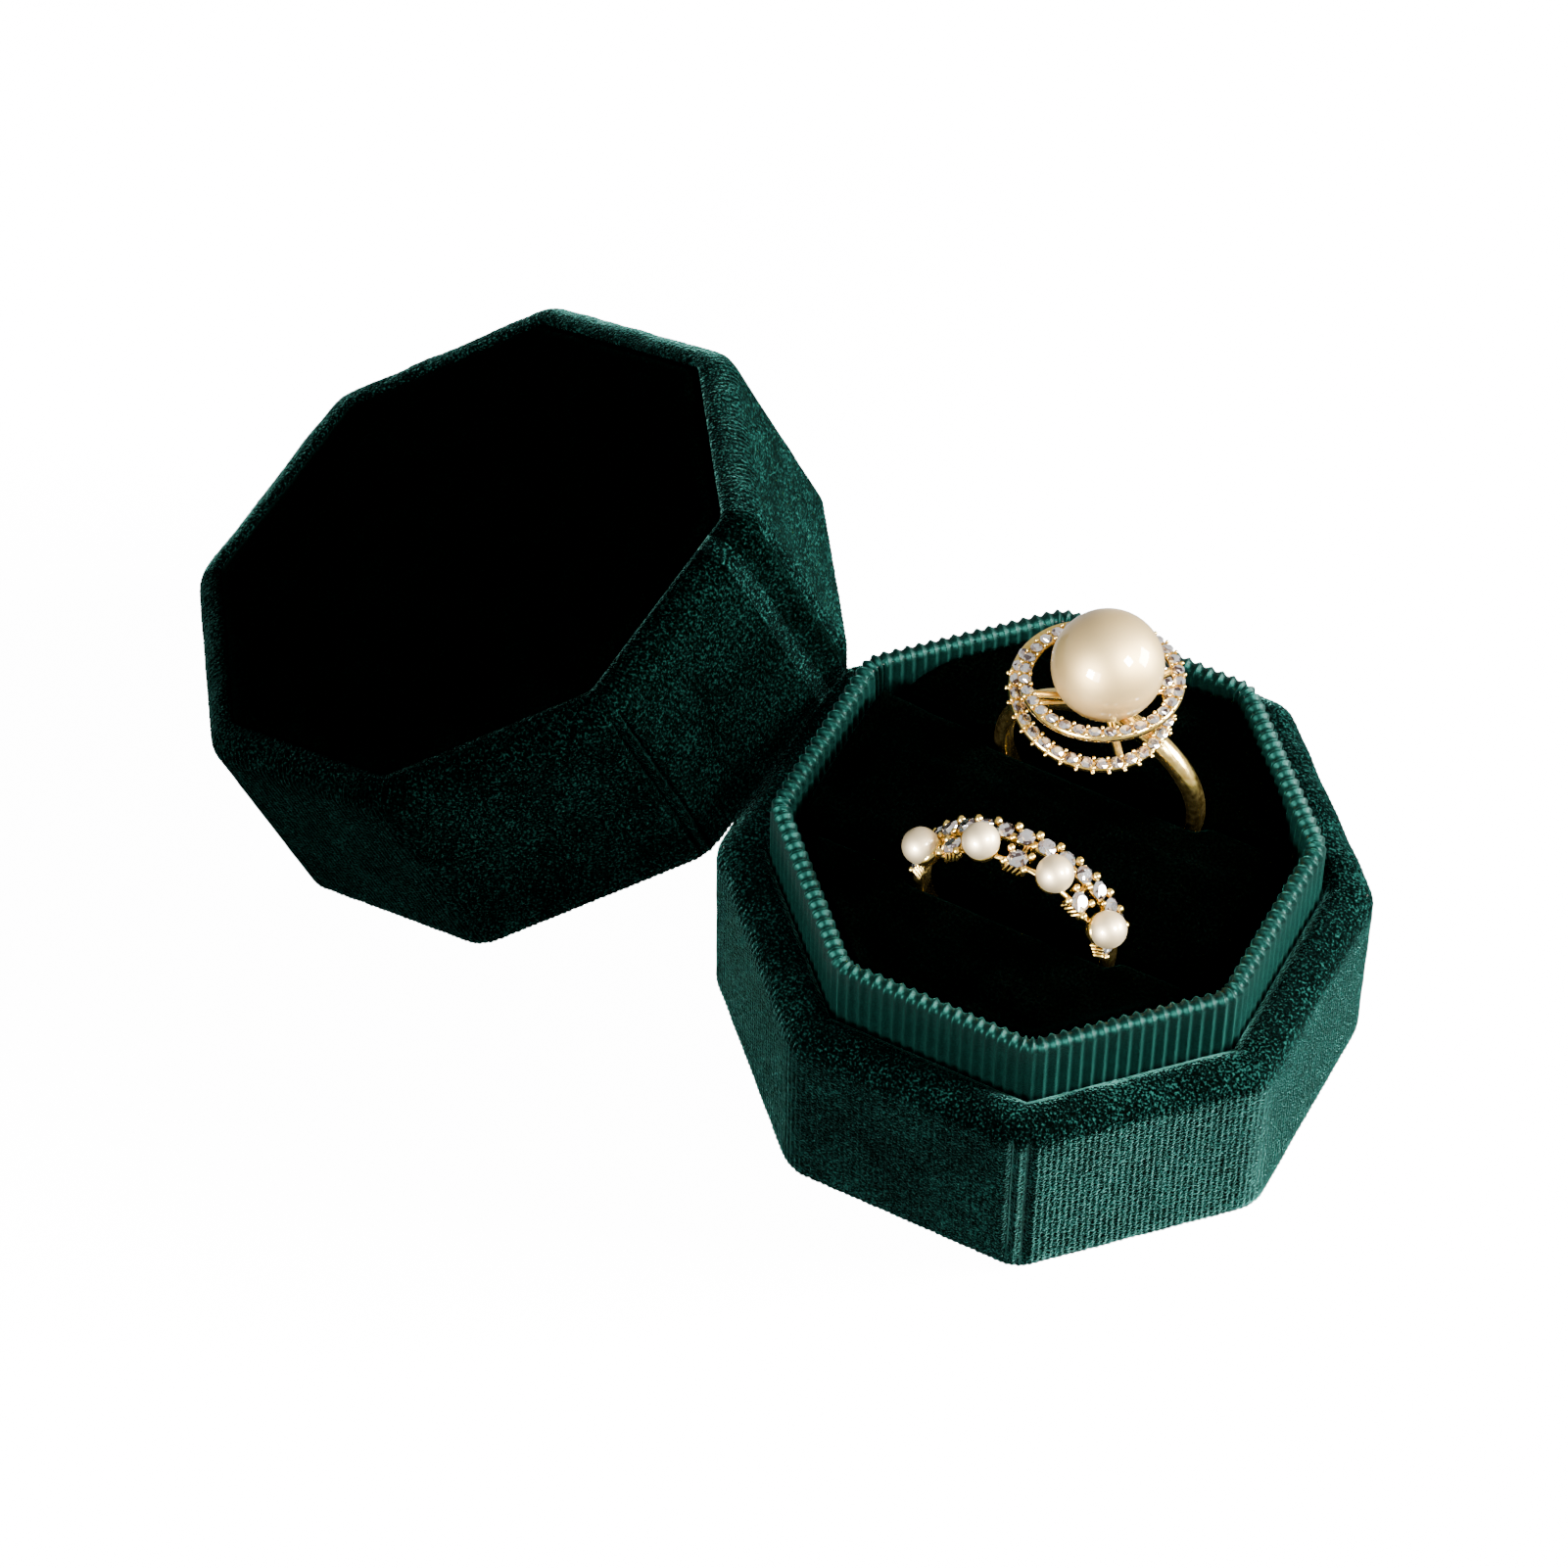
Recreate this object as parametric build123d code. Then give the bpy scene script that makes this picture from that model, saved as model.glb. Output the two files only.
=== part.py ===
"""An octagonal velvet ring box with a lift-off lid, and the two rings that it holds.

The box is greyboard wrapped in ribbed velvet. Its base is a low outer wall with a taller inner
collar, and three foam rolls in velvet sleeves fill the collar, with a slot for a ring between each
two. The lid is off and leans on the base: one corner of its rim stands on the table, and the rim
lies on a corner of the base's wall, beside the collar.

Units are millimetres. +Z is up, the table is z = 0, and the origin is the middle of the base's
underside. The slots run along X, and the octagon has flats square to X and Y.
"""
from build123d import *
from math import cos, degrees, pi, radians, sin
import os

# The box
box_width = 55.0            # across flats, over the velvet
wall_height = 21.3          # the base's outer wall, over the velvet
lid_height = 21.9           # rim to top
velvet = 0.9                # pile and backing
wall_board = 2.4            # greyboard of both walls
board = 2.0                 # greyboard of the floor
top_board = 1.8             # greyboard of the lid's top
corner_round = 3.5          # the walls' upright corners
top_round = 1.6             # the walls' top edges
rim_round = 0.4             # the folded edges at the rim and the foot
turn_in = 9.0               # how far the velvet is folded inside a wall
hem = 6.0                   # how far it is folded under the floor
lid_fit = 0.3               # gap between the collar and the lid, all round

# Foot
foot_thick = 0.6
foot_inset = 1.2

# Collar
collar_rise = 6.35          # above the wall's top
collar_board = 1.0
collar_cloth = 0.5
collar_round = 3.5          # upright corners
collar_lip = 0.9            # rounding of the collar's top
collar_tuck = 9.0           # how far its cloth goes down inside
collar_skirt = 17.0         # and outside

# Insert
card = 1.0
sleeve = 0.7                # velvet round the foam rolls
pad_recess = 1.6            # pad's top below the collar's top
slot_offset = 8.5           # from the middle to each slot
slot_gap = 2.4
pad_round = 1.3
slot_mouth = 0.9            # bevel of the rolls at the slots
pad_share = 0.9             # most that a roll's top may be rounded, as a share of its corners
insert_gap = 0.1

# Lid
wadding = 1.0
cover_inset = 1.4           # top panel's edge in from the lid's side
cover_round = 0.7
cover_crown = 0.3           # top panel above the folded edge
lining_foam = 0.8
lining_cloth = 0.6
side_lining = 0.7

# How the lid leans
lean_heading = 197.4        # which way the lid's top faces, from +X
lean_spin = -26.9           # turn about the lid's own axis
lean_rest = 0.2             # gap between the rim and the wall's corner
lean_gap_x = -1.0           # from the collar's corner to the rim's corner
lean_gap_y = -0.3

# Pearl ring
shank_bore = 8.9
shank_thick = 1.4
shank_width = 2.0
pearl_ring_x = 1.0
pearl_ring_sink = 0.75      # ring's centre below the pad's top
pearl_radius = 5.0
pearl_seat = 0.5            # cup's floor, between the shank and the pearl
cup_radius = 2.6
cup_height = 1.1
post_radius = 0.5
post_length = 3.0
loop_width = 1.1
loop_height = 0.8
halo_stone = 1.15           # girdle diameter
halo_pitch = 1.36
halo_clear = 1.5            # no lower stone this close to the upper loop
upper_loop = dict(radius=6.75, middle=(-0.3, -0.15, -1.6), lean=(-0.075, -0.13))
lower_loop = dict(radius=6.95, middle=(-1.0, -0.55, -4.1), lean=(0.234, -0.053))
strut_radius = 0.35

# Band ring
band_bore = 8.6
band_thick = 1.2
band_width = 2.0
band_ring_x = 1.0
band_ring_sink = 1.35
band_end = 11.0             # degrees above level where the band splits into two rails
rail_thick = 0.7
rail_width = 1.0
front_row = -1.0            # from the slot's middle
back_row = 1.45
bead_pearl = 1.68           # radius
bead_dish = 0.35            # its seat in the rail's dish
bead_first = 28.5
bead_step = 39.5
bead_count = 4
front_stone = 1.9
end_stone = 1.5             # beyond the first and the last pearl
end_step = 13.0             # degrees from that pearl
back_stone = 1.7
back_first = 18.0
back_step = 12.0
back_count = 13

# Worked out from the above
half_box = box_width / 2
board_outer = half_box - velvet
board_inner = board_outer - wall_board
lid_bore = board_inner - velvet
collar_outer = lid_bore - lid_fit
collar_inner = collar_outer - 2 * collar_cloth - collar_board
collar_top = wall_height + collar_rise
wrap_bottom = foot_thick
board_bottom = wrap_bottom + velvet
board_top = wall_height - velvet
floor_top = board_bottom + board
card_top = floor_top + card
pad_top = collar_top - pad_recess
collar_bore_round = collar_round - 2 * collar_cloth - collar_board
pad_edge = collar_inner - insert_gap
pad_corner = collar_bore_round - insert_gap
corner_ratio = 1 / cos(pi / 8)      # octagon's corner radius over its apothem


def octagon(apothem, low, high, rounding=0.0):
    """An upright octagonal prism with flats square to X and Y, its upright edges rounded."""
    base = RegularPolygon(apothem, 8, major_radius=False, rotation=22.5)
    prism = Pos(0, 0, low) * extrude(base, high - low)
    if rounding:
        prism = fillet(prism.edges().filter_by(Axis.Z), rounding)
    return prism


def ring_wall(outer, inner, low, high):
    """An octagonal tube."""
    return octagon(outer, low, high) - octagon(inner, low - 1, high + 1)


def round_top(shape, radius):
    """Rounds the edges of the highest face."""
    return fillet(shape.faces().sort_by(Axis.Z)[-1].edges(), radius)


def round_bottom(shape, radius):
    """Rounds the edges of the lowest face."""
    return fillet(shape.faces().sort_by(Axis.Z)[0].edges(), radius)


# ---- base

def foot_cover():
    return octagon(half_box - foot_inset, 0, foot_thick, corner_round)


def base_floor_board():
    return octagon(board_inner, board_bottom, floor_top)


def base_wall_board():
    return ring_wall(board_outer, board_inner, board_bottom, board_top)


def base_wrap():
    """Velvet round the wall: under the floor, up the outside, over the top and down inside."""
    body = round_top(octagon(half_box, wrap_bottom, wall_height, corner_round), top_round)
    body = round_bottom(body, rim_round)
    body -= ring_wall(board_outer, board_inner, board_bottom, board_top)
    body -= octagon(board_inner, board_bottom, wall_height - turn_in)
    body -= octagon(collar_outer, board_bottom, wall_height + 1, collar_round)
    body -= octagon(board_outer - hem, 0, board_bottom)
    return body


def collar_board_strip():
    outer = collar_outer - collar_cloth
    inner = outer - collar_board
    corner = collar_round - collar_cloth
    strip = octagon(outer, floor_top, collar_top - collar_cloth, corner)
    return strip - octagon(inner, floor_top - 1, collar_top + 1, corner - collar_board)


def collar_wrap():
    """Ribbed cloth over the collar: up the outside, over the lip and down inside."""
    low_out = collar_top - collar_skirt
    low_in = collar_top - collar_tuck
    tube = octagon(collar_outer, low_out, collar_top, collar_round)
    tube -= octagon(collar_inner, low_out - 1, collar_top + 1, collar_bore_round)
    tube = round_top(tube, collar_lip)
    tube -= collar_board_strip()
    return tube - octagon(collar_outer - collar_cloth - collar_board / 2, low_out - 1, low_in)


# ---- insert

def insert_card():
    return octagon(pad_edge, floor_top, card_top)


def roll(low_y, high_y, inset):
    """A foam roll, or the outside of its sleeve: a slice of the pad, bevelled at the slots."""
    top = pad_top - inset
    corner = pad_corner - inset
    pad = octagon(pad_edge - inset, card_top, top, corner)
    pad = round_top(pad, min(pad_round - inset, pad_share * corner))
    low, high = low_y + inset, high_y - inset
    outline = Polyline(
        (low, card_top), (high, card_top), (high, top - slot_mouth), (high - slot_mouth, top),
        (low + slot_mouth, top), (low, top - slot_mouth), close=True,
    )
    return pad & extrude(Plane.YZ * make_face(outline), box_width / 2, both=True)


def roll_limits():
    """The three rolls' limits along Y, over their sleeves. The outer two run on past the pad."""
    near, far = slot_offset - slot_gap / 2, slot_offset + slot_gap / 2
    return dict(front=(-half_box, -far), middle=(-near, near), back=(far, half_box))


def foam_roll(limits):
    return roll(*limits, sleeve)


def velvet_sleeve(limits):
    return roll(*limits, 0) - foam_roll(limits)


# ---- lid, with its rim at z = 0

lid_board_top = lid_height - velvet - wadding
cover_apothem = half_box - cover_inset
ceiling = lid_board_top - top_board


def lid_wall_board():
    return ring_wall(board_outer, board_inner, velvet, lid_board_top)


def lid_top_board():
    return octagon(board_inner, ceiling, lid_board_top)


def lid_wadding():
    return octagon(cover_apothem - velvet, lid_board_top, lid_board_top + wadding, corner_round)


def lid_top_cover():
    panel = octagon(cover_apothem, lid_board_top, lid_height, corner_round)
    return round_top(panel, cover_round) - lid_wadding()


def lid_wrap():
    """Ribbed velvet round the lid: in over the rim, up the side and over the top's edge."""
    body = round_top(octagon(half_box, 0, lid_height - cover_crown, corner_round), top_round / 2)
    body = round_bottom(body, rim_round)
    body -= ring_wall(board_outer, board_inner, velvet, lid_board_top)
    body -= octagon(lid_bore, -1, turn_in)
    body -= octagon(board_inner, turn_in, lid_board_top)
    return body - octagon(cover_apothem, lid_board_top, lid_height + 1, corner_round)


def lid_side_lining():
    return ring_wall(board_inner, board_inner - side_lining, turn_in, ceiling)


def lid_lining_foam():
    return octagon(lid_bore - lining_cloth, ceiling - lining_foam, ceiling)


def lid_lining_cloth():
    return octagon(lid_bore, ceiling - lining_foam - lining_cloth, ceiling) - lid_lining_foam()


def corner_reach(apothem, rounding, inset, angle):
    """How far an octagon with rounded corners, drawn in by inset, reaches past its axis along a
    direction that lies at this angle from one of its corners."""
    return (apothem - rounding) * corner_ratio * cos(angle) + rounding - inset


def lean():
    """The lid's place: a rim corner on the table, the rim on the wall's corner beside the collar.

    The tilt is found by halving. A steeper lid has its rim further above the wall's corner.
    """
    heading, spin = radians(lean_heading), radians(lean_spin)
    uphill = Vector(-cos(heading), -sin(heading))
    across = Vector(-sin(heading), cos(heading))
    corners = [pi / 8 + i * pi / 4 + spin for i in range(8)]
    reach = half_box * corner_ratio
    high = max(corners, key=lambda corner: -cos(corner))
    low_reach = max(corner_reach(half_box, corner_round, rim_round, corner) for corner in corners)
    wall_reach = corner_reach(half_box, corner_round, top_round, heading - 9 * pi / 8)
    collar_corner = Vector(cos(7 * pi / 8), sin(7 * pi / 8)) * collar_outer * corner_ratio
    beside = collar_corner + Vector(lean_gap_x, lean_gap_y) - across * reach * sin(high)

    def middle(tilt):
        flat = beside + uphill * reach * cos(high) * cos(tilt)
        return Vector(flat.X, flat.Y, low_reach * sin(tilt) + rim_round * (1 - cos(tilt)))

    low, steep = 0.0, pi / 3
    for _ in range(50):
        tilt = (low + steep) / 2
        rim = middle(tilt).Z * cos(tilt) - middle(tilt).dot(uphill) * sin(tilt)
        wall = wall_reach * sin(tilt) + (wall_height - top_round) * cos(tilt) + top_round
        if rim < wall + lean_rest:
            low = tilt
        else:
            steep = tilt
    return Pos(middle(tilt)) * Rot(0, 0, lean_heading) * Rot(0, degrees(tilt), 0) * Rot(0, 0, lean_spin)


# ---- stones and pearls

def cut_stone(diameter):
    """A round stone standing on z = 0 with its table up, as two cones."""
    girdle = diameter / 2
    pavilion = Solid.make_cone(girdle * 0.35, girdle, diameter * 0.36)
    crown = Solid.make_cone(girdle, girdle * 0.58, diameter * 0.2)
    return pavilion + Pos(0, 0, diameter * 0.36) * crown


# ---- pearl ring, in the row frame

pearl_ring_z = pad_top - pearl_ring_sink
shank_outer = shank_bore + shank_thick
pearl_z = pearl_ring_z + shank_outer + pearl_seat + pearl_radius
pearl_place = Pos(pearl_ring_x, slot_offset, pearl_z)


def hoop(bore, thick, width):
    """A finger ring about Y: flat inside, domed outside."""
    dome = thick * 0.45
    section = Pos(bore, 0) * Polyline(
        (0, -width / 2), (thick - dome, -width / 2)
    )
    line = section + ThreePointArc(
        (bore + thick - dome, -width / 2), (bore + thick, 0), (bore + thick - dome, width / 2)
    )
    line += Polyline((bore + thick - dome, width / 2), (bore, width / 2), (bore, -width / 2))
    return revolve(make_face(line), Axis.Y)


def pearl_ring_shank():
    return Pos(pearl_ring_x, slot_offset, pearl_ring_z) * hoop(shank_bore, shank_thick, shank_width)


def loop_place(loop):
    """A frame at the loop's middle whose Z is square to the loop."""
    normal = (loop["lean"][0], loop["lean"][1], 1)
    return pearl_place * Location(Plane(origin=loop["middle"], z_dir=normal))


def loop_rail(loop):
    outer = loop["radius"] + loop_width / 2
    inner = loop["radius"] - loop_width / 2
    flat = extrude(Circle(outer) - Circle(inner), loop_height)
    return loop_place(loop) * Pos(0, 0, -loop_height) * flat


def setting_frame():
    """The casting on top of the shank: cup, post, both loops and the struts between them."""
    floor_z = -pearl_radius - pearl_seat
    cup = Pos(0, 0, floor_z) * Solid.make_cone(cup_radius * 0.55, cup_radius, cup_height)
    post = Pos(0, 0, floor_z) * extrude(Circle(post_radius), pearl_seat + post_length)
    frame = pearl_place * (cup + post)
    for loop in (upper_loop, lower_loop):
        frame += loop_rail(loop)
    centre = Vector(pearl_ring_x, slot_offset, pearl_z + floor_z + cup_height / 2)
    for loop in (upper_loop, lower_loop):
        for angle in (40, 140, 220, 320):
            spoke = Pos(
                loop["radius"] * cos(radians(angle)), loop["radius"] * sin(radians(angle)), -loop_height / 2
            )
            tip = (loop_place(loop) * spoke).position
            frame += tube_between(centre, tip, strut_radius)
    frame -= pearl_place * Sphere(pearl_radius)
    frame += pearl_place * post
    return frame - pearl_ring_shank()


def tube_between(start, end, radius):
    axis = end - start
    return Location(Plane(origin=start, z_dir=axis)) * extrude(Circle(radius), axis.length)


def big_pearl():
    drill = Pos(0, 0, -pearl_radius - pearl_seat) * extrude(
        Circle(post_radius), pearl_seat + post_length
    )
    return pearl_place * (Sphere(pearl_radius) - drill)


def loop_stones(loop, others=()):
    """Stones round a loop's top face, left out where another loop's stones are close."""
    count = int(2 * pi * loop["radius"] / halo_pitch)
    stones = []
    for i in range(count):
        turn = Rot(0, 0, i * 360 / count)
        place = loop_place(loop) * turn * Pos(loop["radius"], 0, 0)
        if all((place.position - other).length > halo_clear for other in others):
            stones.append(place)
    return stones


def halo_stones():
    places = loop_stones(upper_loop)
    rail = loop_rail(upper_loop)
    lower = [
        p for p in loop_stones(lower_loop, [q.position for q in places])
        if rail.distance_to(Vertex(*p.position)) > halo_stone
    ]
    return Compound(children=[p * cut_stone(halo_stone) for p in places + lower])


# ---- band ring

band_ring_z = pad_top - band_ring_sink
band_place = Pos(band_ring_x, -slot_offset, band_ring_z)
rail_outer = band_bore + rail_thick


def sector(inner, outer, low_y, high_y, start, end):
    """Part of a hoop about Y, from one angle to another in degrees above +X."""
    mid = (start + end) / 2
    points = [(r * cos(radians(a)), r * sin(radians(a))) for r in (inner, outer) for a in (start, mid, end)]
    outline = ThreePointArc(*points[:3]) + Line(points[2], points[5])
    outline += ThreePointArc(points[5], points[4], points[3]) + Line(points[3], points[0])
    face = Plane.XZ * make_face(outline)
    return Pos(0, high_y, 0) * extrude(face, high_y - low_y)


def on_band(angle, radius, offset):
    """A frame on the band ring whose Z points away from the finger."""
    a = radians(angle)
    origin = (radius * cos(a), offset, radius * sin(a))
    return band_place * Location(Plane(origin=origin, x_dir=(0, 1, 0), z_dir=(cos(a), 0, sin(a))))


def band_ring_shank():
    """The plain lower part, which goes down into the slot."""
    whole = hoop(band_bore, band_thick, band_width)
    gone = sector(band_bore - 1, band_bore + 3, -band_width, band_width, band_end, 180 - band_end)
    return band_place * (whole - gone)


def band_ring_gallery():
    """Two rails over the finger, joined at their ends, with a dish for each pearl."""
    low, high = front_row - rail_width / 2, back_row + rail_width / 2
    rails = sector(band_bore, rail_outer, low, low + rail_width, band_end, 180 - band_end)
    rails += sector(band_bore, rail_outer, high - rail_width, high, band_end, 180 - band_end)
    for start in (band_end, 180 - band_end - 4):
        rails += sector(band_bore, rail_outer, low, high, start, start + 4)
    gallery = band_place * rails
    for angle in bead_angles():
        gallery += on_band(angle, band_bore, front_row) * extrude(Circle(1.2), rail_thick + 0.3)
    for pearl in small_pearls():
        gallery -= pearl
    return gallery


def bead_angles():
    return [bead_first + i * bead_step for i in range(bead_count)]


def small_pearls():
    distance = rail_outer + bead_pearl - bead_dish
    return [on_band(a, distance, front_row) * Sphere(bead_pearl) for a in bead_angles()]


def band_stones():
    """One stone each side of every pearl in the front row, and a full line in the back row."""
    between = [bead_first + (i + 0.5) * bead_step for i in range(bead_count - 1)]
    stones = [on_band(a, rail_outer, front_row) * cut_stone(front_stone) for a in between]
    ends = (bead_angles()[0] - end_step, bead_angles()[-1] + end_step)
    stones += [on_band(a, rail_outer, front_row) * cut_stone(end_stone) for a in ends]
    for i in range(back_count):
        angle = back_first + i * back_step
        stones.append(on_band(angle, rail_outer, back_row) * cut_stone(back_stone))
    return Compound(children=stones)


def save(name, shape):
    shape.label = name
    export_step(shape, f"parts/{name}.step")


def main():
    os.makedirs("parts", exist_ok=True)
    still = dict(
        foot_cover=foot_cover(), base_floor_board=base_floor_board(), base_wall_board=base_wall_board(),
        base_wrap=base_wrap(), collar_board=collar_board_strip(), collar_wrap=collar_wrap(),
        insert_card=insert_card(),
    )
    for name, shape in still.items():
        save(name, shape)
    for name, limits in roll_limits().items():
        save(f"foam_roll_{name}", foam_roll(limits))
        save(f"velvet_sleeve_{name}", velvet_sleeve(limits))
    place = lean()
    lid = dict(
        lid_wall_board=lid_wall_board(), lid_top_board=lid_top_board(), lid_wadding=lid_wadding(),
        lid_top_cover=lid_top_cover(), lid_wrap=lid_wrap(), lid_side_lining=lid_side_lining(),
        lid_lining_foam=lid_lining_foam(), lid_lining_cloth=lid_lining_cloth(),
    )
    for name, shape in lid.items():
        save(name, place * shape)
    save("pearl_ring_shank", pearl_ring_shank())
    save("pearl_ring_setting", setting_frame())
    save("big_pearl", big_pearl())
    save("halo_stones", halo_stones())
    save("band_ring_shank", band_ring_shank())
    save("band_ring_gallery", band_ring_gallery())
    for i, pearl in enumerate(small_pearls()):
        save(f"small_pearl_{i + 1}", pearl)
    save("band_stones", band_stones())


main()
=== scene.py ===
# Octagonal velvet ring box with its lid off and leaning on the base, and the two rings in its pad.
import math

import bmesh
import bpy
import numpy as np
from mathutils import Matrix, Vector


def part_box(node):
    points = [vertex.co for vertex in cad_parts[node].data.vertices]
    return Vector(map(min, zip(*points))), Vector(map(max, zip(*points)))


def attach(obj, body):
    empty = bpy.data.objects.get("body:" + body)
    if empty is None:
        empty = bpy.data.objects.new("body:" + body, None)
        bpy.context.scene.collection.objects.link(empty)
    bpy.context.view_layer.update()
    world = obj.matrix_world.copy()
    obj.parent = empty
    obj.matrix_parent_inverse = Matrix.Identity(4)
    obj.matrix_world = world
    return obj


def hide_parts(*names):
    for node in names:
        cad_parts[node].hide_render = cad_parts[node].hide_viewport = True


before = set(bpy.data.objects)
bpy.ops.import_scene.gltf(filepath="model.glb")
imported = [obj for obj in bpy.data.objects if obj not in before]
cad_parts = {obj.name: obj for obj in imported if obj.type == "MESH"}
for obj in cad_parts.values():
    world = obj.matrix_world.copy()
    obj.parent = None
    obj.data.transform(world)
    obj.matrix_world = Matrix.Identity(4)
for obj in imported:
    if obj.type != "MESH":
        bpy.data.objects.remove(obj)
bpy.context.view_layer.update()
mm = 0.001
quarter = math.pi / 4      # between two faces of an octagon
tuckDepth = 9.0            # how far a wrap goes on inside its wall


# Places are read from the frame, in millimetres

def boxOf(nodeName):
    low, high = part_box(nodeName)
    return np.array(low) / mm, np.array(high) / mm


def pointsOf(nodeName):
    # the node's own corners, each once
    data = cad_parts[nodeName].data
    co = np.empty(len(data.vertices) * 3)
    data.vertices.foreach_get("co", co)
    return np.unique(np.round(co.reshape(-1, 3) / mm, 3), axis=0)


def lidPlace():
    # the lid's own frame: origin in the middle of the rim, z to its top, x across the face nearest to +X
    board = pointsOf("lid_top_board")
    middle = board.mean(0)
    up = np.linalg.svd(board - middle)[2][2]
    up *= np.sign(up[2])
    flat = (board - middle) - np.outer((board - middle) @ up, up)
    corner = flat[np.argmax(np.linalg.norm(flat, axis=1))]
    corner /= np.linalg.norm(corner)
    side = np.cross(up, corner)
    turns = [math.pi / 8 + i * quarter for i in range(8)]
    across = max((corner * math.cos(a) + side * math.sin(a) for a in turns), key=lambda v: v[0])
    rim = ((pointsOf("lid_wrap") - middle) @ up).min()
    return middle + up * rim, np.stack([across, np.cross(up, across), up])


# Surfaces are grids of points

def gridMesh(name, grid, closeRows=False, closeColumns=False, smooth=True):
    # grid is rows x columns x 3, in millimetres; a closed direction joins its last line to its first
    rows, columns = grid.shape[:2]
    i = np.arange(rows if closeRows else rows - 1)
    j = np.arange(columns if closeColumns else columns - 1)
    i, j = [part.ravel() for part in np.meshgrid(i, j, indexing="ij")]
    nextI, nextJ = (i + 1) % rows, (j + 1) % columns
    faces = np.stack([i * columns + j, i * columns + nextJ, nextI * columns + nextJ, nextI * columns + j], 1)
    return meshFrom(name, grid.reshape(-1, 3), faces, smooth)


def meshFrom(name, points, faces, smooth=True):
    data = bpy.data.meshes.new(name)
    data.vertices.add(len(points))
    data.vertices.foreach_set("co", (np.asarray(points) * mm).ravel())
    data.loops.add(faces.size)
    data.loops.foreach_set("vertex_index", faces.ravel())
    data.polygons.add(len(faces))
    data.polygons.foreach_set("loop_start", np.arange(len(faces)) * faces.shape[1])
    data.polygons.foreach_set("use_smooth", np.full(len(faces), smooth))
    data.update(calc_edges=True)
    data.validate()
    piece = bpy.data.objects.new(name, data)
    bpy.context.scene.collection.objects.link(piece)
    return piece


def triMesh(name, points, faces, smooth=False):
    # loose points and triangles, millimetres; points that meet are joined, and so are flat-ended tubes' tips
    piece = meshFrom(name, points, faces, smooth)
    shape = bmesh.new()
    shape.from_mesh(piece.data)
    bmesh.ops.remove_doubles(shape, verts=shape.verts, dist=0.002 * mm)
    bmesh.ops.dissolve_degenerate(shape, edges=shape.edges, dist=0.001 * mm)
    bmesh.ops.recalc_face_normals(shape, faces=shape.faces)
    shape.to_mesh(piece.data)
    shape.free()
    return piece


def gridFaces(rows, columns, closeRows=False):
    # triangles of a grid whose columns join up into a tube
    i = np.arange(rows if closeRows else rows - 1)
    i, j = [part.ravel() for part in np.meshgrid(i, np.arange(columns), indexing="ij")]
    a, b = i * columns + j, i * columns + (j + 1) % columns
    nextI = (i + 1) % rows
    c, d = nextI * columns + (j + 1) % columns, nextI * columns + j
    return np.concatenate([np.stack([a, b, c], 1), np.stack([a, c, d], 1)])


def lathe(rows, columns):
    # (radius, height, turn in half columns) rows round z, radius 0 making a pole
    radius, height, turn = np.array(rows, float).T
    angle = (np.arange(columns)[None] + turn[:, None] / 2) * 2 * np.pi / columns
    points = np.stack([radius[:, None] * np.cos(angle), radius[:, None] * np.sin(angle),
                       np.broadcast_to(height[:, None], angle.shape)], 2)
    faces = gridFaces(len(radius), columns)
    points = points.reshape(-1, 3)
    area = np.cross(points[faces[:, 1]] - points[faces[:, 0]], points[faces[:, 2]] - points[faces[:, 0]])
    return points, faces[np.linalg.norm(area, axis=1) > 1e-9]


def scatter(shape, places, axes, sizes):
    # one small shape repeated: places n x 3, axes n x 3 x 3 (rows x, y, z), sizes n x 3
    points, faces = shape
    put = np.einsum("pk,nk,nkj->npj", points, sizes, axes) + places[:, None]
    shift = np.arange(len(places))[:, None, None] * len(points)
    return put.reshape(-1, 3), (faces[None] + shift).reshape(-1, 3)


def hoopShape(middle, axes, radius, section, start=0.0, end=360.0, steps=96, tip=0.0):
    # a section (outwards, along the axis) carried round a circle in the plane of axes[0] and axes[1];
    # an open stretch is closed at its ends by rows that shrink to a point over tip degrees
    whole = end - start >= 360
    t = np.radians(np.linspace(start, end, steps, endpoint=not whole))
    scale = np.ones(steps)
    if not whole:
        near = np.minimum(np.degrees(t) - start, end - np.degrees(t)) / max(tip, 1e-6)
        scale = np.sqrt(np.clip(1 - (1 - np.clip(near, 0, 1)) ** 2, 0, 1))
    out = np.cos(t)[:, None] * axes[0] + np.sin(t)[:, None] * axes[1]
    centre = section.mean(0)
    shaped = centre + (section - centre)[None] * scale[:, None, None]
    points = middle + (radius + shaped[..., 0:1]) * out[:, None] + shaped[..., 1:2] * axes[2]
    return points.reshape(-1, 3), gridFaces(steps, len(section), whole)


def rodShape(start, end, radius, sides=8):
    # straight rods, each from one point to another, with rounded ends; start and end are n x 3
    start, end = np.atleast_2d(start), np.atleast_2d(end)
    way = end - start
    length = np.linalg.norm(way, axis=1)
    way = way / length[:, None]
    helper = np.where(np.abs(way[:, 2:3]) < 0.9, [[0, 0, 1.0]], [[1.0, 0, 0]])
    side = np.cross(helper, way)
    side /= np.linalg.norm(side, axis=1)[:, None]
    rod = lathe([(0, 0, 0), (0.7, 0.02, 0), (1, 0.08, 0), (1, 0.92, 0), (0.7, 0.98, 0), (0, 1, 0)], sides)
    axes = np.stack([side, np.cross(way, side), way], 1)
    return scatter(rod, start, axes, np.stack([np.full(len(length), radius)] * 2 + [length], 1))


def joinShapes(shapes):
    # several (points, faces) as one
    starts = np.cumsum([0] + [len(points) for points, faces in shapes[:-1]])
    return (np.concatenate([points for points, faces in shapes]),
            np.concatenate([faces + start for (points, faces), start in zip(shapes, starts)]))


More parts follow.
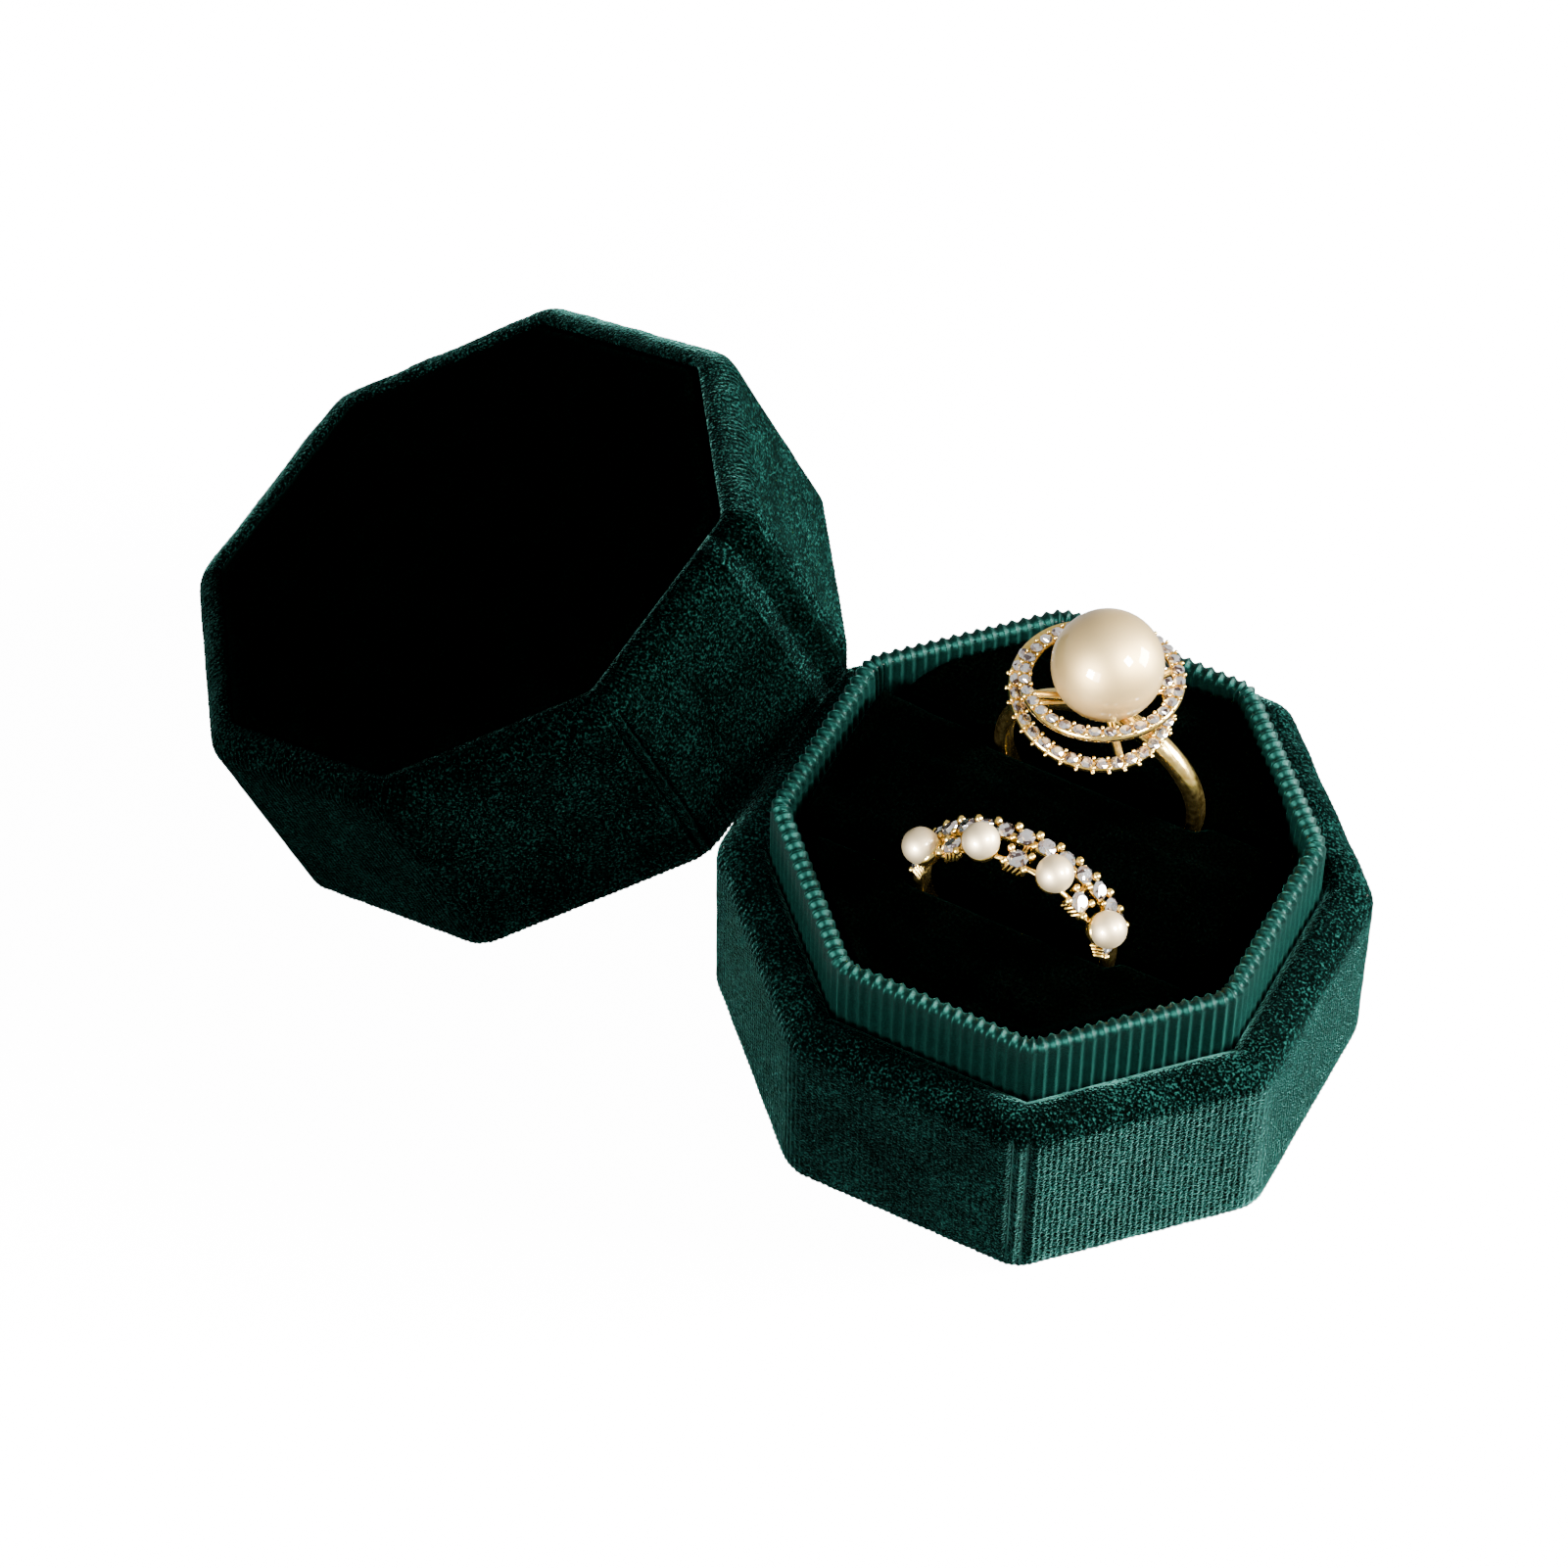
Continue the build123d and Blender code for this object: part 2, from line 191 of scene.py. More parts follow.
def ripple(points, pitch, seed, count=16):
    # smooth random relief from about -1 to 1: plane waves of about one pitch in random directions, added up
    rng = np.random.default_rng(seed)
    ways = rng.normal(size=(count, 3))
    ways /= np.linalg.norm(ways, axis=1)[:, None]
    ways *= 2 * np.pi / (pitch * rng.uniform(0.7, 1.5, count))[:, None]
    return np.sin(points @ ways.T + rng.uniform(0, 2 * np.pi, count)).sum(-1) / math.sqrt(count) * 0.8


def smoothStep(value, low, high):
    t = np.clip((value - low) / (high - low), 0, 1)
    return t * t * (3 - 2 * t)


def octagonLoop(apothem, rounding, columns):
    # stations evenly spaced round an octagon with rounded corners, from the middle of the +X face:
    # core is the corner point that a station hangs on, per millimetre of the inner octagon's apothem,
    # out is the way that the wall faces there, and along is the way walked in millimetres
    half = (apothem - rounding) * math.tan(math.pi / 8)
    arc = rounding * quarter
    side = 2 * half + arc
    along = np.arange(columns) / columns * side * 8
    face = np.floor((along + half) / side)
    local = along + half - face * side
    slide = np.clip(local, 0, 2 * half) - half
    turn = np.clip(local - 2 * half, 0, arc) / max(rounding, 1e-9) + face * quarter
    facing = face * quarter
    reach = slide / (apothem - rounding)
    core = np.stack([np.cos(facing) - reach * np.sin(facing), np.sin(facing) + reach * np.cos(facing)], 1)
    out = np.stack([np.cos(turn), np.sin(turn)], 1)
    return dict(core=core, out=out, along=along, around=side * 8,
                corner=local - 2 * half - arc / 2, side=side,
                face=face)


def wrapGrid(loop, apothem, rounding, profile):
    # a profile carried round an octagon; profile rows are (inset from the outer face, height)
    inset, height = profile[:, 0], profile[:, 1]
    soft = np.maximum(rounding - inset, 0)[:, None, None]
    sharp = (apothem - inset)[:, None, None] - soft
    flat = sharp * loop["core"][None] + soft * loop["out"][None]
    tall = np.broadcast_to(height[:, None, None], flat.shape[:2] + (1,))
    return np.concatenate([flat, tall], 2)


def gridNormals(grid):
    # which way a closed grid faces at each point, from its neighbours both ways
    down = np.roll(grid, -1, 0) - np.roll(grid, 1, 0)
    across = np.roll(grid, -1, 1) - np.roll(grid, 1, 1)
    normal = np.cross(across, down)
    return normal / np.maximum(np.linalg.norm(normal, axis=2), 1e-9)[..., None]


def arcPoints(middle, radius, start, end, steps):
    # points of an arc in the (inset, height) plane, angles in degrees from outwards, up is 90
    angle = np.radians(np.linspace(start, end, steps))
    return np.stack([middle[0] - radius * np.cos(angle), middle[1] + radius * np.sin(angle)], 1)


def linePoints(start, end, steps):
    # points of a straight stretch, without its two ends
    t = np.linspace(0, 1, steps + 2)[1:-1, None]
    return np.array(start) * (1 - t) + np.array(end) * t


# Finishes

def linear(hexText, alpha=1.0):
    # sRGB hex to the linear colour that Blender works in
    values = [int(hexText[i:i + 2], 16) / 255 for i in (0, 2, 4)]
    return [v / 12.92 if v <= 0.04045 else ((v + 0.055) / 1.055) ** 2.4 for v in values] + [alpha]


def add(tree, kind, inputs=None, **settings):
    # one node, its settings and what goes into it: a value, or another node's output to link
    made = tree.nodes.new(kind)
    for key, value in settings.items():
        setattr(made, key, value)
    for key, value in (inputs or {}).items():
        if isinstance(value, bpy.types.NodeSocket):
            tree.links.new(value, made.inputs[key])
        else:
            made.inputs[key].default_value = value
    return made


def newMaterial(name):
    made = bpy.data.materials.new(name)
    made.use_nodes = True
    tree = made.node_tree
    tree.nodes.clear()
    shader = add(tree, "ShaderNodeBsdfPrincipled")
    end = add(tree, "ShaderNodeOutputMaterial", {"Surface": shader.outputs["BSDF"]})
    where = add(tree, "ShaderNodeTexCoord").outputs["Object"]
    return made, tree, shader, end, where


def ramp(tree, factor, stops):
    # a colour ramp from (place, hex) pairs
    made = add(tree, "ShaderNodeValToRGB", {"Fac": factor})
    bar = made.color_ramp.elements
    while len(bar) < len(stops):
        bar.new(0.5)
    for element, (place, tone) in zip(bar, stops):
        element.position = place
        element.color = linear(tone)
    return made.outputs["Color"]


def velvetMaterial(name, look):
    # cut-pile velvet, woven and dyed: nearly black seen along the pile, bright where it is seen edge-on
    made, tree, shader, end, where = newMaterial(name)
    fleck = add(tree, "ShaderNodeTexNoise",
                {"Vector": where, "Scale": 1 / (look["fleck"] * mm), "Detail": 2.0})
    patch = add(tree, "ShaderNodeTexNoise",
                {"Vector": where, "Scale": 1 / (look["patch"] * mm), "Detail": 3.0})
    part = add(tree, "ShaderNodeMath", {0: patch.outputs["Fac"], 1: look["patchShare"]},
               operation="MULTIPLY")
    both = add(tree, "ShaderNodeMath",
               {0: fleck.outputs["Fac"], 1: 1 - look["patchShare"], 2: part.outputs[0]},
               operation="MULTIPLY_ADD")
    tone = ramp(tree, both.outputs[0], look["tones"])
    tree.links.new(tone, shader.inputs["Base Color"])
    bump = add(tree, "ShaderNodeBump", {"Height": fleck.outputs["Fac"], "Strength": look["fuzz"],
                                        "Distance": look["fleck"] * mm})
    tree.links.new(bump.outputs["Normal"], shader.inputs["Normal"])
    shader.inputs["Roughness"].default_value = look["roughness"]
    shader.inputs["IOR"].default_value = 1.5
    shader.inputs["Specular IOR Level"].default_value = look["specular"]
    shader.inputs["Sheen Weight"].default_value = look["sheen"]
    shader.inputs["Sheen Roughness"].default_value = look["sheenRoughness"]
    shader.inputs["Sheen Tint"].default_value = linear(look["sheenTint"])
    shader.inputs["Specular Tint"].default_value = linear(look["sheenTint"])
    return made


# the darker tones vary at random; the brightest tone, here and in the darker copy below, paints small glints
# of fibre tips
ribbedVelvet = velvetMaterial("ribbedVelvet", dict(
    fleck=0.24, patch=5.0, patchShare=0.15, fuzz=0.9, roughness=0.95, specular=0.0, sheen=1.0,
    sheenRoughness=0.24, sheenTint="6cbcae", tones=[(0.4, "010302"), (0.54, "030d0b"), (0.68, "1a4a42")]))
# the same cloth as a darker copy with less sheen: painted shade, put on the lid's near faces and on one
# stripe
paintedShadeVelvet = velvetMaterial("ribbedVelvetPaintedShade", dict(
    fleck=0.24, patch=5.0, patchShare=0.15, fuzz=0.9, roughness=0.95, specular=0.0, sheen=0.22,
    sheenRoughness=0.24, sheenTint="6cbcae", tones=[(0.4, "000100"), (0.54, "010504"), (0.68, "0c2b25")]))
plainVelvet = velvetMaterial("plainVelvet", dict(
    fleck=0.25, patch=4.0, patchShare=0.3, fuzz=0.4, roughness=0.95, specular=0.0, sheen=0.03,
    sheenRoughness=0.3, sheenTint="2f8f7c", tones=[(0.4, "000000"), (0.55, "010201"), (0.7, "020806")]))
collarCloth = velvetMaterial("collarCloth", dict(
    fleck=0.15, patch=2.0, patchShare=0.2, fuzz=0.25, roughness=0.45, specular=0.35, sheen=1.0,
    sheenRoughness=0.3, sheenTint="3f9c8c", tones=[(0.35, "010806"), (0.5, "021411"), (0.65, "05241e")]))
liningCloth = velvetMaterial("liningCloth", dict(
    fleck=0.2, patch=3.0, patchShare=0.3, fuzz=0.2, roughness=0.7, specular=0.2, sheen=0.3,
    sheenRoughness=0.4, sheenTint="4fb8a2", tones=[(0.35, "02100d"), (0.5, "041c18"), (0.65, "072a24")]))


def mottledMaterial(name, look):
    # board and card: a fine grain of two tones over a matt body
    made, tree, shader, end, where = newMaterial(name)
    grain = add(tree, "ShaderNodeTexNoise",
                {"Vector": where, "Scale": 1 / (look["grain"] * mm), "Detail": 3.0})
    tree.links.new(ramp(tree, grain.outputs["Fac"], look["tones"]), shader.inputs["Base Color"])
    bump = add(tree, "ShaderNodeBump", {"Height": grain.outputs["Fac"], "Strength": look["relief"],
                                        "Distance": look["grain"] * mm * 0.3})
    tree.links.new(bump.outputs["Normal"], shader.inputs["Normal"])
    shader.inputs["Roughness"].default_value = look["roughness"]
    return made


greyboard = mottledMaterial("greyboard", dict(
    grain=0.6, relief=0.4, roughness=0.9, tones=[(0.35, "6d6a64"), (0.5, "85827b"), (0.65, "98958d")]))
cardStock = mottledMaterial("cardStock", dict(
    grain=0.3, relief=0.2, roughness=0.8, tones=[(0.35, "cfccc4"), (0.65, "e2dfd8")]))


def goldMaterial():
    # pale gold, cast and polished: mirror-like, with faint polishing haze that breaks the reflections up
    made, tree, shader, end, where = newMaterial("polishedPaleGold")
    haze = add(tree, "ShaderNodeTexNoise", {"Vector": where, "Scale": 1 / (0.5 * mm), "Detail": 3.0})
    tree.links.new(ramp(tree, haze.outputs["Fac"], [(0.3, "d8b050"), (0.7, "ecd07e")]),
                   shader.inputs["Base Color"])
    rough = add(tree, "ShaderNodeMapRange", {"Value": haze.outputs["Fac"], "To Min": 0.12, "To Max": 0.26})
    tree.links.new(rough.outputs["Result"], shader.inputs["Roughness"])
    bump = add(tree, "ShaderNodeBump",
               {"Height": haze.outputs["Fac"], "Strength": 0.15, "Distance": 0.02 * mm})
    tree.links.new(bump.outputs["Normal"], shader.inputs["Normal"])
    shader.inputs["Metallic"].default_value = 1.0
    return made


def pearlMaterial(name, tones):
    # imitation pearl: a bead dipped in lacquer, whose metallic lustre mirrors softly under a clear skin
    made, tree, shader, end, where = newMaterial(name)
    drift = add(tree, "ShaderNodeTexNoise", {"Vector": where, "Scale": 1 / (6.0 * mm), "Detail": 1.0})
    tree.links.new(ramp(tree, drift.outputs["Fac"], tones), shader.inputs["Base Color"])
    shader.inputs["Roughness"].default_value = 0.52
    shader.inputs["IOR"].default_value = 1.56
    shader.inputs["Metallic"].default_value = 0.6
    shader.inputs["Coat Weight"].default_value = 1.0
    shader.inputs["Coat Roughness"].default_value = 0.05
    shader.inputs["Sheen Weight"].default_value = 0.1
    shader.inputs["Sheen Tint"].default_value = linear("f3e2b8")
    return made


def stoneMaterial():
    # brilliant-cut zirconia: clear, bending light strongly; its base colour is painted in dark and white
    # patches, painted reflections of the facets
    made, tree, shader, end, where = newMaterial("cutZirconia")
    paintedFacetGlint = add(tree, "ShaderNodeTexVoronoi", {"Vector": where, "Scale": 1 / (0.45 * mm)})
    # painted reflections: dark and white patches in the base colour stand in for the facets' sparkle
    tree.links.new(ramp(tree, paintedFacetGlint.outputs["Color"], [(0.22, "6a5856"), (0.4, "f0ddd6"), (0.6, "ffffff")]),
                   shader.inputs["Base Color"])
    shader.inputs["Roughness"].default_value = 0.03
    shader.inputs["IOR"].default_value = 2.2
    shader.inputs["Metallic"].default_value = 0.7         # light that the lower facets throw back
    shader.inputs["Transmission Weight"].default_value = 0.7
    return made


gold = goldMaterial()
bigPearlSkin = pearlMaterial("ivoryPearl", [(0.35, "b2945a"), (0.65, "c4a870")])
smallPearlSkin = pearlMaterial("whitePearl", [(0.35, "c0ab82"), (0.65, "d0bd96")])
zirconia = stoneMaterial()


def dress(piece, material, body, slot, *nodes):
    piece.data.materials.clear()
    piece.data.materials.append(material)
    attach(piece, body)
    if nodes:
        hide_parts(*nodes)
    return piece


# Where it is seen from

camera = dict(target=(-31.9, 11.47, 0.0), azimuth=26.61, elevation=52.98, roll=1.0, distance=644.9,
              lens=158.2, sensor=36.0)


def makeCamera():
    az, el = math.radians(camera["azimuth"]), math.radians(camera["elevation"])
    back = Vector((math.sin(az) * math.cos(el), -math.cos(az) * math.cos(el), math.sin(el)))
    data = bpy.data.cameras.new("camera")
    data.lens = camera["lens"]
    data.sensor_width = camera["sensor"]
    data.clip_start = 0.05
    eye = bpy.data.objects.new("camera", data)
    bpy.context.scene.collection.objects.link(eye)
    turn = (back.to_track_quat("Z", "Y").to_matrix().to_4x4()
            @ Matrix.Rotation(math.radians(camera["roll"]), 4, "Z"))
    place = Vector(camera["target"]) * mm + back * camera["distance"] * mm
    eye.matrix_world = Matrix.Translation(place) @ turn
    bpy.context.scene.camera = eye


makeCamera()
print("camera set")


# Base

base = dict(rounding=4.2, topRound=2.3, footRound=0.5, ribPitch=0.57, ribDepth=0.08, perRib=6,
            ledgeDip=0.5, wrinkle=0.14, fuzz=0.05,
            creases=[(6, -1.2, 0.45, 0.55), (6, -0.25, 0.4, -0.25), (6, 0.7, 0.42, 0.5)])
collar = dict(rounding=3.5, ribPitch=1.1, ribDepth=0.3, perRib=12, valley=0.7, lip=0.95, thick=2.0, cloth=0.5)


def creaseDepth(loop, creases):
    # grooves beside upright edges: (edge's number, way from its middle, width, depth), millimetres
    depth = np.zeros_like(loop["along"])
    for edge, offset, width, deep in creases:
        middle = (edge + 0.5) * loop["side"] + offset
        away = (loop["along"] - middle + loop["around"] / 2) % loop["around"] - loop["around"] / 2
        depth += deep * np.exp(-(away / width) ** 2 * 2)
    return depth


def wrapPiece(name, loop, apothem, look, profile, visible, place=None):
    # velvet round a wall: the profile is carried round, and its outside is pressed in between the ribs
    grid = wrapGrid(loop, apothem, look["rounding"], profile)
    normal = gridNormals(grid)
    ribs = loop["around"] / round(loop["around"] / look["ribPitch"])
    wave = 0.5 - 0.5 * np.cos(2 * np.pi * loop["along"] / ribs)
    press = look["ribDepth"] * wave[None] * visible[:, 1:2]
    press = press + creaseDepth(loop, look["creases"])[None] * visible[:, 2:3]
    flat = grid.reshape(-1, 3)
    soft = 0.5 + 0.5 * ripple(flat, 4.0, 3).reshape(grid.shape[:2])
    fine = 0.5 + 0.5 * ripple(flat, 0.8, 5, 24).reshape(grid.shape[:2])
    press = press + (look["wrinkle"] * soft * visible[:, 3:4] + look["fuzz"] * fine) * visible[:, 0:1]
    grid = grid - normal * press[..., None]
    if place is not None:
        grid = grid @ place[1] + place[0]
    return gridMesh(name, grid, closeRows=True, closeColumns=True)


def makeBaseVelvet():
    low, high = boxOf("base_wrap")
    boardLow, boardHigh = boxOf("base_wall_board")
    collarOut = boxOf("collar_wrap")[1][0]
    apothem, foot, top = high[0], low[2], high[2]
    boardIn = apothem - boardHigh[0]
    wallIn = apothem - boxOf("base_floor_board")[1][0]
    ledgeIn = apothem - collarOut
    hem = boardIn + 6.0
    tuck = top - tuckDepth
    r, f = base["topRound"], base["footRound"]
    parts = [
        np.array([[hem, foot]]),
        arcPoints((f, foot + f), f, -90, 0, 4),
        linePoints((0, foot + f), (0, top - r), 12),
        arcPoints((r, top - r), r, 0, 90, 10),
        np.array([[r + 0.7, top - 0.02], [r + 1.4, top - 0.12], [ledgeIn - 0.5, top - base["ledgeDip"]],
                  [ledgeIn - 0.12, top - base["ledgeDip"] - 0.5], [ledgeIn - 0.05, top - 2.0]]),
        np.array([[ledgeIn - 0.05, tuck], [wallIn + 0.02, tuck], [wallIn + 0.02, boardHigh[2]],
                  [boardIn, boardHigh[2]], [boardIn, boardLow[2]], [hem, boardLow[2]]]),
    ]
    profile = np.concatenate(parts)
    n = len(profile)
    outside = np.zeros((n, 4))
    shown = slice(1, n - 8)
    outside[shown, 0] = 1
    outside[shown, 1] = 1 - 0.75 * smoothStep(profile[shown, 1], top - 1.6, top - 0.4)
    outside[shown, 2] = smoothStep(profile[shown, 1], foot + 0.5, foot + 3) * (
        1 - smoothStep(profile[shown, 1], top - 2.4, top - 0.4))
    outside[shown, 3] = 0.25 + 1.2 * smoothStep(profile[shown, 1], top - 2.5, top)
    around = octagonLoop(apothem, base["rounding"], 8)["around"]
    columns = round(around / base["ribPitch"]) * base["perRib"]
    loop = octagonLoop(apothem, base["rounding"], columns)
    piece = wrapPiece("baseVelvet", loop, apothem, base, profile, outside)
    dress(piece, ribbedVelvet, "base", "ribbed_velvet", "base_wrap")
    print("base velvet:", len(piece.data.polygons) * 2, "triangles")


def makeCollar():
    low, high = boxOf("collar_wrap")
    apothem, top, bottom = high[0], high[2], low[2]
    lip, thick, cloth = collar["lip"], collar["thick"], collar["cloth"]
    tuck = top - tuckDepth
    parts = [
        np.array([[0.0, bottom]]),
        linePoints((0, bottom), (0, top - lip), 10),
        arcPoints((lip, top - lip), lip, 0, 180, 17),
        linePoints((thick, top - lip), (thick, tuck), 3),
        np.array([[thick, tuck], [thick - cloth, tuck], [thick - cloth, top - cloth], [cloth, top - cloth],
                  [cloth, bottom]]),
    ]
    profile = np.concatenate(parts)
    shown = np.zeros(len(profile))
    shown[1:len(profile) - 5] = 1
    around = octagonLoop(apothem, collar["rounding"], 8)["around"]
    ribs = round(around / collar["ribPitch"])
    loop = octagonLoop(apothem, collar["rounding"], ribs * collar["perRib"])
    grid = wrapGrid(loop, apothem, collar["rounding"], profile)
    normal = gridNormals(grid)
    across = (loop["along"] / loop["around"] * ribs) % 1 * 2 - 1
    cord = (0.5 - 0.5 * np.cos(np.pi * across)) ** collar["valley"]      # narrow rounded crests, wide valleys
    press = collar["ribDepth"] * cord[None] * shown[:, None]
    grid = grid - normal * press[..., None]
    piece = gridMesh("collarCord", grid, closeRows=True, closeColumns=True)
    dress(piece, collarCloth, "base", "ribbed_cloth", "collar_wrap")
    print("collar:", len(piece.data.polygons) * 2, "triangles")


makeBaseVelvet()
makeCollar()


# Lid

# litStripe, darkStripeEnd and the count of faces say where the lid's velvet gets the painted-shade copy
lid = dict(rounding=4.6, topRound=2.5, rimRound=0.5, ribPitch=0.57, ribDepth=0.08, perRib=6, wrinkle=0.12,
           fuzz=0.05, creases=[(0, 1.2, 1.0, 0.65), (0, -1.1, 1.1, -0.5), (7, -0.2, 0.4, 0.5),
                    (7, 0.35, 0.3, -0.2), (7, 0.9, 0.38, 0.45)],
           litStripe=(-5.0, -3.3), darkStripeEnd=1.3, paintedShadeFaceCount=4)
lidAt = lidPlace()


def inLid(nodeName):
    # a node's points in the lid's own frame
    return (pointsOf(nodeName) - lidAt[0]) @ lidAt[1].T


def makeLidVelvet():
    wrap, board, cover = inLid("lid_wrap"), inLid("lid_wall_board"), inLid("lid_top_cover")
    apothem, top = wrap[:, 0].max(), wrap[:, 2].max()
    boardIn = apothem - board[:, 0].max()
    boardLow, boardTop = board[:, 2].min(), board[:, 2].max()
    wallIn = apothem - inLid("lid_top_board")[:, 0].max()
    bore = wallIn + boardLow
    panelIn = apothem - cover[:, 0].max()
    r, f = lid["topRound"], lid["rimRound"]
    parts = [
        np.array([[bore, tuckDepth]]),
        linePoints((bore, tuckDepth), (bore, f), 3),
        arcPoints((bore - f, f), f, -180, -90, 4),
        np.array([[(bore + f) / 2, 0.0]]),
        arcPoints((f, f), f, -90, 0, 4),
        linePoints((0, f), (0, top - r), 12),
        arcPoints((r, top - r), r, 0, 90, 9),
        np.array([[panelIn + 1.6, top - 0.1], [panelIn + 1.7, boardTop + 0.02], [boardIn + 0.6, boardTop],
                  [boardIn, boardLow], [wallIn, boardLow], [wallIn, tuckDepth]]),
    ]
    profile = np.concatenate(parts)
    n = len(profile)
    outside = np.zeros((n, 4))
    shown = slice(1, n - 6)
    outside[shown, 0] = 1
    outside[shown, 1] = 1 - 0.7 * smoothStep(profile[shown, 1], top - 1.6, top - 0.3)
    outside[shown, 2] = smoothStep(profile[shown, 1], 0, 0.6) * (
        1 - smoothStep(profile[shown, 1], top - 3.2, top - 1.2))
    outside[shown, 3] = 0.25 + 1.0 * smoothStep(profile[shown, 1], top - 2.5, top)
    outside[profile[:, 0] > r + 1, 2:] = 0
    around = octagonLoop(apothem, lid["rounding"], 8)["around"]
    columns = round(around / lid["ribPitch"]) * lid["perRib"]
    loop = octagonLoop(apothem, lid["rounding"], columns)
    piece = wrapPiece("lidVelvet", loop, apothem, lid, profile, outside, lidAt)
    dress(piece, ribbedVelvet, "lid", "ribbed_velvet", "lid_wrap")
    piece.data.materials.append(paintedShadeVelvet)
    # painted shade: the darker copy goes on the near faces and on one stripe beside their last corner,
    # leaving a lit stripe between them
    halfWay = loop["around"] / 2
    fromCorner = (loop["along"] - 0.5 * loop["side"] + halfWay) % loop["around"] - halfWay
    near = (fromCorner < lid["litStripe"][0]) & (fromCorner > -lid["paintedShadeFaceCount"] * loop["side"])
    stripe = (fromCorner > lid["litStripe"][1]) & (fromCorner < lid["darkStripeEnd"])
    paintedShadeFaces = np.tile(near | stripe, len(profile)).astype(np.int32)
    piece.data.polygons.foreach_set("material_index", paintedShadeFaces[:len(piece.data.polygons)])
    print("lid velvet:", len(piece.data.polygons) * 2, "triangles")


makeLidVelvet()


# Padded pieces: each starts as a closed bag a little small, and cloth simulation fills it

padding = dict(scale=12.0, voxel=0.62, pressure=4.0, frames=20, cap=0.45, shrink=0.3)


def bag(corners):
    # convex bag round the given points, remeshed evenly; returns the object, at the simulation's scale
    shape = bmesh.new()
    for corner in corners * padding["scale"] * mm:
        shape.verts.new(corner)
    hull = bmesh.ops.convex_hull(shape, input=shape.verts)
    bmesh.ops.delete(shape, geom=[g for g in hull["geom_interior"] if isinstance(g, bmesh.types.BMVert)],
                     context="VERTS")
    bmesh.ops.recalc_face_normals(shape, faces=shape.faces)
    data = bpy.data.meshes.new("bag")
    shape.to_mesh(data)
    shape.free()
    piece = bpy.data.objects.new("bag", data)
    bpy.context.scene.collection.objects.link(piece)
    remesh = piece.modifiers.new("remesh", "REMESH")
    remesh.mode = "VOXEL"
    remesh.voxel_size = padding["voxel"] * padding["scale"] * mm
    piece.data = bpy.data.meshes.new_from_object(piece.evaluated_get(bpy.context.evaluated_depsgraph_get()))
    piece.modifiers.clear()
    return piece


def coordinates(data):
    co = np.empty(len(data.vertices) * 3)
    data.vertices.foreach_get("co", co)
    return co.reshape(-1, 3)


def fill(piece):
    # blows the bag up with cloth simulation and returns its points before and after, in millimetres
    toMillimetres = 1 / (padding["scale"] * mm)
    before = coordinates(piece.data) * toMillimetres
    scene = bpy.context.scene
    cloth = piece.modifiers.new("cloth", "CLOTH")
    cloth.settings.use_pressure = True
    cloth.settings.uniform_pressure_force = padding["pressure"]
    cloth.settings.effector_weights.gravity = 0
    cloth.point_cache.frame_start, cloth.point_cache.frame_end = 1, padding["frames"]
    for frameNumber in range(1, padding["frames"] + 1):
        scene.frame_set(frameNumber)
    done = piece.evaluated_get(bpy.context.evaluated_depsgraph_get())
    after = coordinates(done.data) * toMillimetres
    scene.frame_set(1)
    piece.modifiers.clear()
    move = after - before
    far = np.linalg.norm(move, axis=1, keepdims=True)
    return before, before + move * np.minimum(1, padding["cap"] / np.maximum(far, 1e-9))


def finishPad(piece, name, points):
    # the bag's own mesh at its real size, subdivided once
    piece.data.vertices.foreach_set("co", (points * mm).ravel())
    piece.data.polygons.foreach_set("use_smooth", np.ones(len(piece.data.polygons), bool))
    piece.data.update()
    piece.name = piece.data.name = name
    smoother = piece.modifiers.new("subdivision", "SUBSURF")
    smoother.levels = smoother.render_levels = 1
    return piece


def octagonReach(points):
    # how far each point is from the upright axis, measured square to the octagon's nearest face
    ways = np.arange(8) * quarter
    return (points[:, :2] @ np.stack([np.cos(ways), np.sin(ways)])).max(1)


def keepInside(points, apothem):
    # draws points in so that none passes the octagon's faces
    ways = np.arange(8) * quarter
    for way in np.stack([np.cos(ways), np.sin(ways)], 1):
        over = np.maximum(points[:, :2] @ way - apothem, 0)
        points[:, :2] -= over[:, None] * way
    return points


pad = dict(edge=1.0, shoulder=0.25, rimRise=1.3, rimWidth=1.5, crown=0.15, wrinkle=0.06, shutGap=0.15,
           openBeside=0.05, shutOver=0.9)


